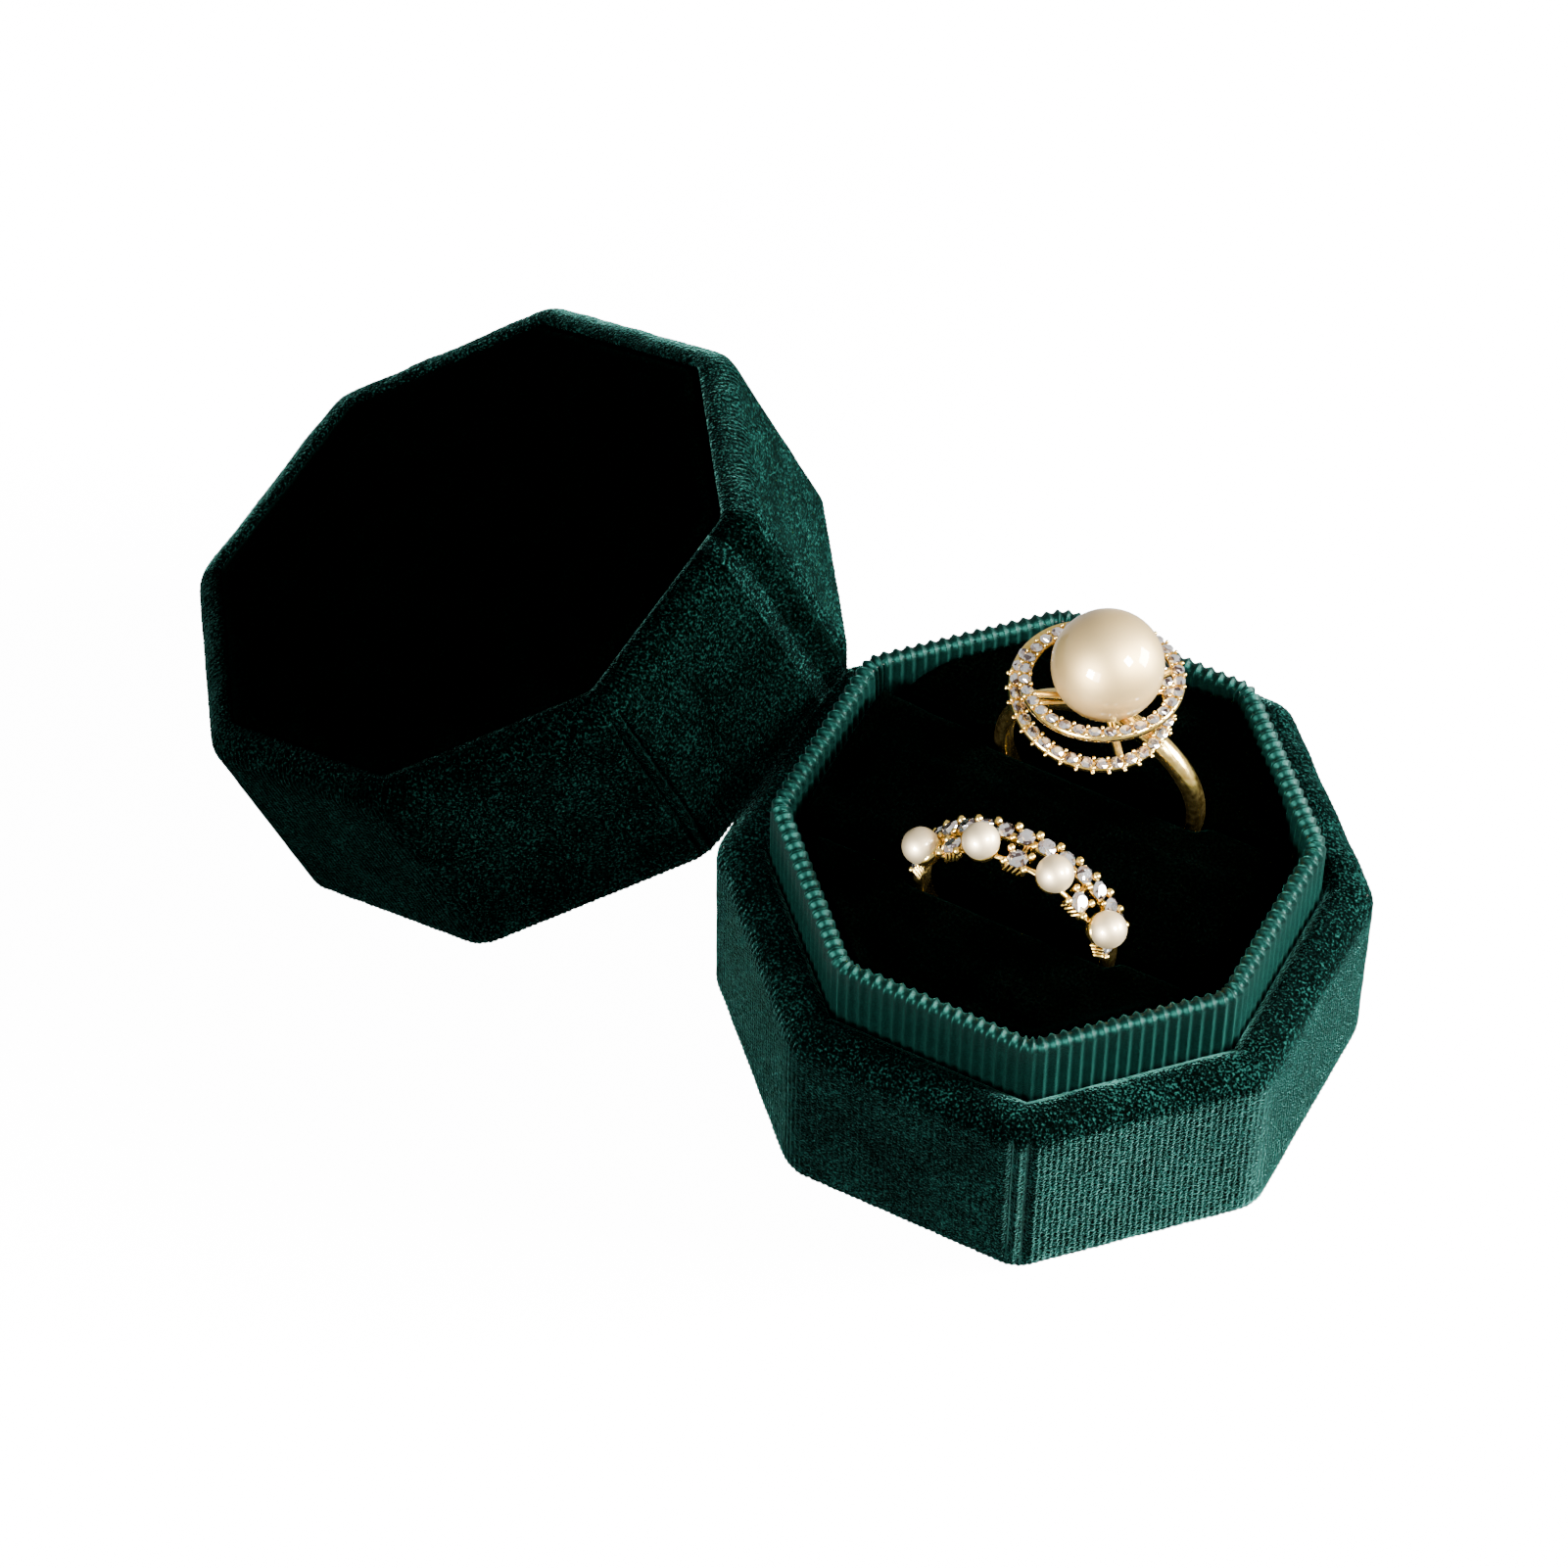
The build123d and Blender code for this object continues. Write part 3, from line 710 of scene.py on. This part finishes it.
def makeSleeve(part, ringNodes):
    # one velvet-covered roll: it opens for a ring's shank and presses on the next roll beyond it
    node = "velvet_sleeve_" + part
    low, high = boxOf(node)
    apothem = boxOf("velvet_sleeve_middle")[1][0]
    side = padding["shrink"]
    levels = [(low[2] + 0.2, side), (high[2] - pad["edge"], side),
              (high[2] - side, side + pad["shoulder"] * 2)]
    corners = []
    flat = apothem * math.tan(math.pi / 8)
    for z, inset in levels:
        y = np.clip([low[1] + inset, -flat, flat, high[1] - inset], low[1] + inset, high[1] - inset)
        half = np.minimum(apothem, apothem * math.sqrt(2) - np.abs(y)) - inset
        for sign in (-1, 1):
            corners.append(np.stack([sign * half, y, np.full(4, z)], 1))
    piece = bag(np.unique(np.round(np.concatenate(corners), 4), axis=0))
    before, points = fill(piece)
    points[:, 2] = np.where(before[:, 2] > high[2] - 2, np.maximum(points[:, 2], before[:, 2]), points[:, 2])
    upper = smoothStep(points[:, 2], high[2] - 6, high[2] - 1)
    for edge, sign in ((low[1], -1), (high[1], 1)):
        if abs(edge) > apothem - 1:
            continue
        gap = abs(abs(edge) - slotMiddle)
        ring = ringNodes[0] if edge > 0 else ringNodes[1]
        ringLow, ringHigh = boxOf(ring)
        beside = np.maximum(ringLow[0] - points[:, 0], points[:, 0] - ringHigh[0]) - pad["openBeside"]
        shut = smoothStep(beside, 0, pad["shutOver"]) * smoothStep((points[:, 1] - edge) * sign, -4, -0.2)
        points[:, 1] += sign * shut * upper * (gap - pad["shutGap"] / 2)
        reach = np.where(beside > 0, gap - pad["shutGap"] / 2, 0)
        points[:, 1] = np.where(sign > 0, np.minimum(points[:, 1], edge + reach),
                                np.maximum(points[:, 1], edge - reach))
    inward = apothem - octagonReach(points)
    points[:, 2] += pad["rimRise"] * smoothStep(pad["rimWidth"] - inward, 0, pad["rimWidth"]) * upper
    points[:, 2] += pad["wrinkle"] * ripple(points, 3.5, 11) * upper
    points[:, 2] = np.clip(points[:, 2], low[2] + 0.02, high[2] + pad["crown"] + pad["rimRise"])
    points = keepInside(points, apothem)
    finishPad(piece, "velvetRoll" + part.capitalize(), points)
    dress(piece, plainVelvet, "base", "plain_velvet", node, "foam_roll_" + part)
    print("velvet roll", part, len(points), "points")


slotMiddle = sum(boxOf("band_ring_shank")[i][1] for i in (0, 1)) / -2
for part in ("front", "middle", "back"):
    makeSleeve(part, ("pearl_ring_shank", "band_ring_shank"))


def makeLidPanel(name, outerNode, innerNode, material, slot, crown, inset):
    # a padded octagon on a board, in the lid's own frame
    both = np.concatenate([inLid(outerNode), inLid(innerNode)])
    apothem, low, high = inLid(outerNode)[:, 0].max() - inset, both[:, 2].min(), both[:, 2].max()
    thick = high - low
    ways = (np.arange(8) + 0.5) * quarter
    corners = []
    for share, drawnIn in ((0.06, 0.25), (0.45, 0.35), (0.94, 1.9)):
        reach = (apothem - drawnIn) / math.cos(math.pi / 8)
        level = np.full(8, low + share * thick)
        corners.append(np.stack([reach * np.cos(ways), reach * np.sin(ways), level], 1))
    piece = bag(np.concatenate(corners))
    before, points = fill(piece)
    points[:, 2] += 0.05 * ripple(points, 5.0, 17)
    points[:, 2] = np.clip(points[:, 2], low + 0.02, high + crown)
    points = keepInside(points, apothem)
    finishPad(piece, name, points @ lidAt[1] + lidAt[0])
    dress(piece, material, "lid", slot, outerNode, innerNode)
    print(name, len(points), "points")


makeLidPanel("lidTopPanel", "lid_top_cover", "lid_wadding", plainVelvet, "plain_velvet",
             0.1, 0.5)
makeLidPanel("lidCeilingPad", "lid_lining_cloth", "lid_lining_foam", liningCloth, "cloth_smooth",
             0.0, 0.0)


# Rings

aboutY = np.array([[1.0, 0, 0], [0, 0, 1], [0, 1, 0]])     # a circle in the upright x-z plane
beadShape = lathe([(0, -1, 0), (0.7, -0.7, 0), (1, 0, 0), (0.7, 0.7, 0), (0, 1, 0)], 8)
brilliant = lathe([(0, 0.42, 0), (0.56, 0.42, 0), (1, 0.08, 1), (1, -0.06, 1), (0, -0.75, 0)], 8)


def domeSection(thick, width, steps=13):
    # flat at the finger and domed outside: (outwards, along the axis) round a D
    t = np.linspace(0, np.pi, steps)
    dome = np.stack([thick * 0.5 + thick * 0.5 * np.sin(t), -width / 2 * np.cos(t)], 1)
    inner = np.array([[0.12 * thick, width / 2], [0, width * 0.36],
                      [0, -width * 0.36], [0.12 * thick, -width / 2]])
    return np.concatenate([dome, inner])


def ovalSection(width, height, middle=0.0, steps=10):
    # rounded bar: width outwards, height along the axis
    t = np.arange(steps) / steps * 2 * np.pi
    c, q = np.cos(t), np.sin(t)
    return np.stack([width / 2 * np.sign(c) * np.abs(c) ** 0.7,
                     middle + height / 2 * np.sign(q) * np.abs(q) ** 0.7], 1)


def spherePiece(name, middle, radius, material, body, node, slot="pearl"):
    # a sphere from rows of latitude
    t = np.linspace(0, np.pi, 49)
    offAxis = np.arange(49) % 48 > 0
    points, faces = lathe(np.stack([np.sin(t) * radius * offAxis, -np.cos(t) * radius, t * 0], 1), 96)
    return dress(triMesh(name, points + middle, faces, True), material, body, slot, node)


def evenly(count, radius, axes, middle, first=0.0, step=None):
    # places and frames round a circle: each frame's z is the circle's axis, x is outwards
    angle = np.radians(first + np.arange(count) * (step if step else 360 / count))
    out = np.cos(angle)[:, None] * axes[0] + np.sin(angle)[:, None] * axes[1]
    axis = np.broadcast_to(axes[2], out.shape)
    return middle + radius * out, np.stack([out, np.cross(axis, out), axis], 1)


pearlRing = dict(thick=1.4, width=2.0, loopWidth=1.1, loopHeight=0.8, stone=1.15, pitch=1.36, clear=0.95,
                 bead=0.2, tip=0.2, cup=2.6, strut=0.4, seat=0.5, struts=(40, 140, 220, 320))
loops = [dict(radius=6.75, middle=(-0.3, -0.35, -1.6), lean=(-0.075, 0.1)),
         dict(radius=6.95, middle=(-1.0, -0.55, -4.1), lean=(0.234, -0.053))]


def loopAxes(lean):
    up = np.array([lean[0], lean[1], 1.0])
    up /= np.linalg.norm(up)
    across = np.cross([0, 1.0, 0], up)
    across /= np.linalg.norm(across)
    return np.stack([across, np.cross(up, across), up])


def makePearlRing():
    low, high = boxOf("big_pearl")
    pearlMiddle, pearlRadius = (low + high) / 2, (high[0] - low[0]) / 2
    spherePiece("bigPearl", pearlMiddle, pearlRadius, bigPearlSkin, "pearl_ring", "big_pearl")
    low, high = boxOf("pearl_ring_shank")
    outer = (high[0] - low[0]) / 2
    hoop = hoopShape((low + high) / 2, aboutY, outer - pearlRing["thick"],
                     domeSection(pearlRing["thick"], pearlRing["width"]), steps=160)
    dress(triMesh("pearlRingShank", *hoop, True), gold, "pearl_ring", "gold", "pearl_ring_shank")
    floorZ = pearlMiddle[2] - pearlRadius - pearlRing["seat"]
    r = np.linspace(pearlRing["cup"], 0, 9)
    bowl = pearlRadius + pearlRing["seat"] - np.sqrt((pearlRadius + 0.02) ** 2 - r ** 2)
    rows = [(0, 0, 0), (pearlRing["cup"] * 0.55, 0, 0), (pearlRing["cup"] + 0.12, bowl[0] - 0.1, 0)]
    cup = lathe(rows + [(a, b, 0) for a, b in zip(r, bowl)], 48)
    metal = [(cup[0] + [pearlMiddle[0], pearlMiddle[1], floorZ], cup[1])]
    stones, taken = [], np.empty((0, 3))
    hub = np.array([pearlMiddle[0], pearlMiddle[1], floorZ + 0.5])
    for loop in loops:
        axes = loopAxes(loop["lean"])
        middle = pearlMiddle + loop["middle"]
        section = ovalSection(pearlRing["loopWidth"], pearlRing["loopHeight"], -pearlRing["loopHeight"] / 2)
        metal.append(hoopShape(middle, axes, loop["radius"], section, steps=144))
        count = int(2 * math.pi * loop["radius"] / pearlRing["pitch"])
        places, frames = evenly(count, loop["radius"], axes, middle)
        between, turned = evenly(count, loop["radius"], axes, middle, 180 / count)
        if len(taken):
            free = np.linalg.norm(places[:, None] - taken[None], axis=2).min(1) > pearlRing["clear"]
            freeBetween = np.linalg.norm(between[:, None] - taken[None], axis=2).min(1) > pearlRing["clear"]
            places, frames = places[free], frames[free]
            between, turned = between[freeBetween], turned[freeBetween]
        stoneSize = np.full((len(places), 3), pearlRing["stone"] / 2)
        stones.append(scatter(brilliant, places + axes[2] * 0.12, frames, stoneSize))
        size = np.full((len(between), 3), pearlRing["bead"])
        for outwards, upwards in ((0.5, 0.12), (-0.48, 0.12)):
            beads = between + turned[:, 0] * outwards + axes[2] * upwards
            metal.append(scatter(beadShape, beads, turned, size))
        if loop is loops[1]:
            tips = between + turned[:, 0] * 0.68 - axes[2] * 0.4
            metal.append(rodShape(between - axes[2] * 0.3, tips, 0.14, 6))
            metal.append(scatter(beadShape, tips, turned, np.full((len(tips), 3), pearlRing["tip"])))
        for angle in pearlRing["struts"]:
            a = math.radians(angle)
            spoke = middle - axes[2] * 0.4 + loop["radius"] * (math.cos(a) * axes[0] + math.sin(a) * axes[1])
            metal.append(rodShape(hub, spoke, pearlRing["strut"], 10))
        taken = np.concatenate([taken, places])
    dress(triMesh("pearlRingSetting", *joinShapes(metal), True), gold, "pearl_ring", "gold",
          "pearl_ring_setting")
    dress(triMesh("haloStones", *joinShapes(stones)), zirconia, "pearl_ring", "cut_stone", "halo_stones")
    print("pearl ring:", sum(len(places) for places, faces in stones) // len(brilliant[0]), "halo stones")


makePearlRing()


bandRing = dict(bore=8.6, thick=1.2, width=2.0, end=11.0, railThick=0.7, railWidth=0.9, frontRow=-1.0,
                backRow=1.45, pearlFirst=28.5, pearlStep=39.5, frontStone=1.9, endStone=1.5, endStep=13.0,
                backStone=1.7, backFirst=18.0, backStep=12.0, backCount=13, claw=0.44, clawRise=0.5)


def makeBandRing():
    low, high = boxOf("band_ring_shank")
    outer = (high[0] - low[0]) / 2
    bore, rail = bandRing["bore"], bandRing["bore"] + bandRing["railThick"]
    middle = np.array([(low[0] + high[0]) / 2, (low[1] + high[1]) / 2, low[2] + bore + bandRing["thick"]])
    end = bandRing["end"]
    hoop = hoopShape(middle, aboutY, bore, domeSection(bandRing["thick"], bandRing["width"]),
                     180 - end - 2, 360 + end + 2, 120, 2.0)
    dress(triMesh("bandRingShank", *hoop, True), gold, "band_ring", "gold", "band_ring_shank")

    def onBand(angle, radius, offset):
        # places and frames on the band: x along the finger, y round the band, z away from the finger
        a = np.radians(np.atleast_1d(np.asarray(angle, float)))
        out = np.stack([np.cos(a), a * 0, np.sin(a)], 1)
        along = np.broadcast_to([0, 1.0, 0], out.shape)
        return middle + radius * out + [0, offset, 0], np.stack([along, np.cross(out, along), out], 1)

    metal = []
    for row, wide in ((bandRing["frontRow"], 0.5), (bandRing["backRow"], bandRing["railWidth"])):
        bar = ovalSection(bandRing["railThick"] * (0.6 + 0.4 * (wide > 0.5)), wide)
        metal.append(hoopShape(middle + [0, row, 0], aboutY, (bore + rail) / 2, bar, end, 180 - end,
                               90, 3.0))
    pearls = bandRing["pearlFirst"] + bandRing["pearlStep"] * np.arange(4)
    gaps = (pearls[:-1] + pearls[1:]) / 2
    ends = np.array([pearls[0] - bandRing["endStep"], pearls[-1] + bandRing["endStep"]])
    backs = bandRing["backFirst"] + bandRing["backStep"] * np.arange(bandRing["backCount"])
    crossings = np.concatenate([gaps, pearls, [end + 2, 178 - end]])
    metal.append(rodShape(onBand(crossings, (bore + rail) / 2, bandRing["frontRow"])[0],
                          onBand(crossings, (bore + rail) / 2, bandRing["backRow"])[0], 0.3))
    dish = lathe([(0, -0.1, 0), (0.9, -0.1, 0), (1.42, 0.5, 0), (1.5, 0.95, 0), (1.38, 1.0, 0),
                  (1.15, 0.55, 0), (0.6, 0.36, 0), (0, 0.3, 0)], 24)
    places, frames = onBand(pearls, rail - 0.35, bandRing["frontRow"])
    metal.append(scatter(dish, places, frames, np.ones((4, 3))))
    for angle in np.concatenate([gaps, ends]):
        for slant in (-4.2, -1.4, 1.4, 4.2):
            upper = onBand(angle + slant - 1.6, rail + 0.5, bandRing["frontRow"] - 0.5)[0]
            lower = onBand(angle + slant + 1.6, bore + 0.1, bandRing["frontRow"] - 0.95)[0]
            metal.append(rodShape(upper, lower, 0.14, 6))
    claws = []
    half = math.degrees(bandRing["frontStone"] / 2 / rail)
    for angle, size in [(a, 1.0) for a in gaps] + [(a, 0.75) for a in ends]:
        for turn in (-1, 1):
            for across in (-0.78, 0.78):
                claws.append((angle + turn * half * size, bandRing["frontRow"] + across * size, 0.9 * size))
    betweenBacks = np.concatenate([backs - bandRing["backStep"] / 2, backs[-1:] + bandRing["backStep"] / 2])
    claws += [(a, bandRing["backRow"] + 0.72, 1.0) for a in betweenBacks]
    claws += [(a, bandRing["backRow"] - 0.62, 0.7) for a in betweenBacks]
    for angle, offset, size in claws:
        top, frames = onBand(angle, rail + bandRing["clawRise"], offset)
        metal.append(rodShape(onBand(angle, rail - 0.3, offset)[0], top, 0.22, 6))
        metal.append(scatter(beadShape, top, frames, np.full((1, 3), bandRing["claw"] * size)))
    dress(triMesh("bandRingGallery", *joinShapes(metal), True), gold, "band_ring", "gold",
          "band_ring_gallery")
    stones = []
    for angles, size, row in ((gaps, "frontStone", "frontRow"), (ends, "endStone", "frontRow"),
                              (backs, "backStone", "backRow")):
        places, frames = onBand(angles, rail + 0.45, bandRing[row])
        stones.append(scatter(brilliant, places, frames, np.full((len(places), 3), bandRing[size] / 2)))
    dress(triMesh("bandStones", *joinShapes(stones)), zirconia, "band_ring", "cut_stone", "band_stones")
    for i in range(4):
        low, high = boxOf(f"small_pearl_{i + 1}")
        spherePiece(f"smallPearl{i + 1}", (low + high) / 2, (high[0] - low[0]) / 2, smallPearlSkin,
                    "band_ring", f"small_pearl_{i + 1}")
    print("band ring:", len(claws), "claws")


makeBandRing()


# What the frame itself shows: board, card, foam and linings
finishes = [("board", greyboard), ("insert_card", cardStock), ("lining", liningCloth),
            ("foot_cover", liningCloth)]
for nodeName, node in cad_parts.items():
    for part, finish in finishes:
        if part in nodeName:
            node.data.materials.clear()
            node.data.materials.append(finish)


# Studio

studio = dict(
    rimRight=dict(toward=(0.83, 0.46, 0.32), away=900, size=(420, 300), power=62.0, matt=True),
    boxRight=dict(toward=(0.73, -0.04, 0.69), away=900, size=(210, 240), power=62.0, matt=False),
    boxLeft=dict(toward=(-0.19, -0.92, 0.45), away=900, size=(210, 240), power=62.0, matt=False),
    softFill=dict(toward=(0.0, -0.9, 0.42), away=900, size=(300, 300), power=14.0, matt=True),
)
surround = dict(forMatt=0.012, forGloss=0.75)
studioFloor = dict(glow=14.0)         # bright enough to render as clean white paper


def makeStudio():
    corners = [[[-3000, -3000, 0], [3000, -3000, 0]], [[-3000, 3000, 0], [3000, 3000, 0]]]
    floor = gridMesh("floor", np.array(corners, float))
    made, tree, shader, end, where = newMaterial("litWhitePaper")
    shader.inputs["Base Color"].default_value = linear("f4f4f2")
    shader.inputs["Roughness"].default_value = 0.9
    shader.inputs["Emission Color"].default_value = linear("ffffff")
    shader.inputs["Emission Strength"].default_value = studioFloor["glow"]
    floor.data.materials.append(made)
    floor.visible_diffuse = floor.visible_glossy = floor.visible_transmission = False
    middle = Vector(camera["target"]) * mm
    for name, light in studio.items():
        data = bpy.data.lights.new(name, "AREA")
        data.shape = "RECTANGLE"
        data.size, data.size_y = light["size"][0] * mm, light["size"][1] * mm
        data.energy = light["power"]
        lamp = bpy.data.objects.new(name, data)
        lamp.visible_diffuse = light["matt"]    # the boxes are only mirrored in pearl and gold
        bpy.context.scene.collection.objects.link(lamp)
        toward = Vector(light["toward"]).normalized()
        place = middle + toward * light["away"] * mm
        lamp.matrix_world = Matrix.Translation(place) @ toward.to_track_quat("Z", "Y").to_matrix().to_4x4()
    world = bpy.data.worlds.new("studio")
    world.use_nodes = True
    tree = world.node_tree
    back = tree.nodes["Background"]
    back.inputs["Color"].default_value = linear("ffffff")
    rays = add(tree, "ShaderNodeLightPath")         # matt surfaces get less of the surround than glossy ones
    level = add(tree, "ShaderNodeMapRange", {"Value": rays.outputs["Is Diffuse Ray"],
                                             "To Min": surround["forGloss"], "To Max": surround["forMatt"]})
    tree.links.new(level.outputs["Result"], back.inputs["Strength"])
    bpy.context.scene.world = world


makeStudio()
